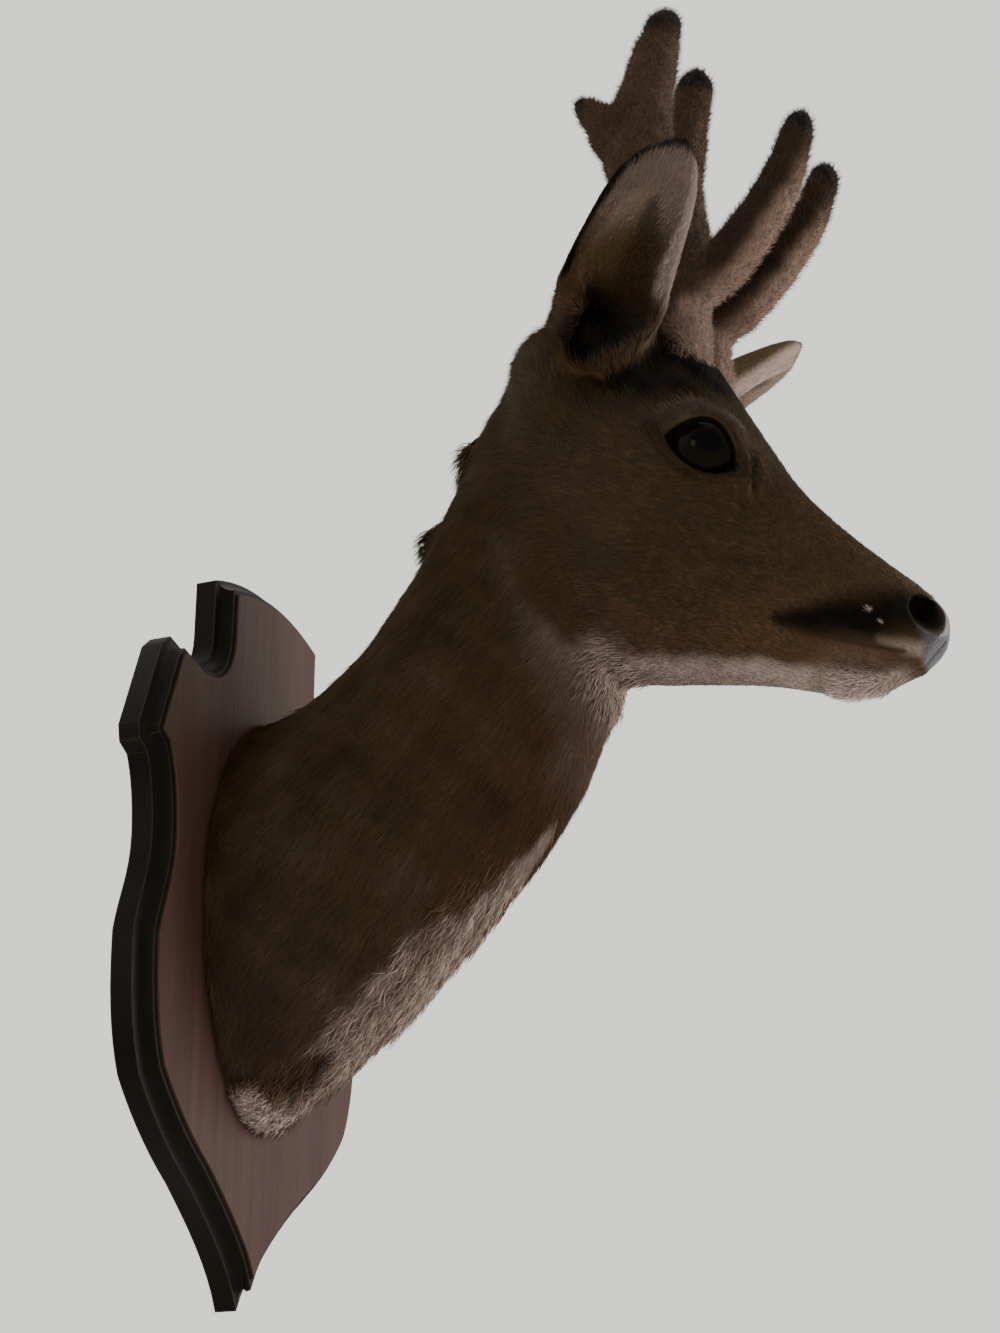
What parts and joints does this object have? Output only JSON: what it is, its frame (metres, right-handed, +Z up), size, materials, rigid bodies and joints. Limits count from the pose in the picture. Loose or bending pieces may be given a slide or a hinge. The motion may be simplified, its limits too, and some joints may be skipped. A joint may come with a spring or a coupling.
{
  "type": "roe deer shoulder mount",
  "caption": "Life-size taxidermy head and neck of a roe buck with antlers in velvet, on a dark shaped wooden wall board.",
  "frame": {"origin": "centre of the board's flat back face, at its mid-height and on the mid-plane", "axes": "+Z up the wall, +Y into the wall; the deer looks along -Y and its own right side is -X"},
  "size_m": [0.208, 0.3281, 0.5793],
  "materials": {
    "board_wood": "dark stained wood under satin varnish",
    "coat": "grey-brown winter fur",
    "pale_coat": "pale short fur of the chin",
    "ear_coat": "short fur, pale inside and dark at the rim",
    "nose_leather": "bare black nose skin with a soft sheen",
    "eye_glass": "dark polished glass eye",
    "velvet": "short brown antler velvet"
  },
  "bodies": {
    "root": {"board": "board_wood", "shoulder": "coat", "neck": "coat", "head": "coat", "lower_jaw": "pale_coat", "nose": "nose_leather", "ear_right": "ear_coat", "ear_left": "ear_coat", "eye_right": "eye_glass", "eye_left": "eye_glass", "antler_right_lower_beam": "velvet", "antler_right_front_tine": "velvet", "antler_right_upper_beam": "velvet", "antler_right_rear_tine": "velvet", "antler_left_lower_beam": "velvet", "antler_left_front_tine": "velvet", "antler_left_upper_beam": "velvet", "antler_left_rear_tine": "velvet"}
  },
  "joints": []
}
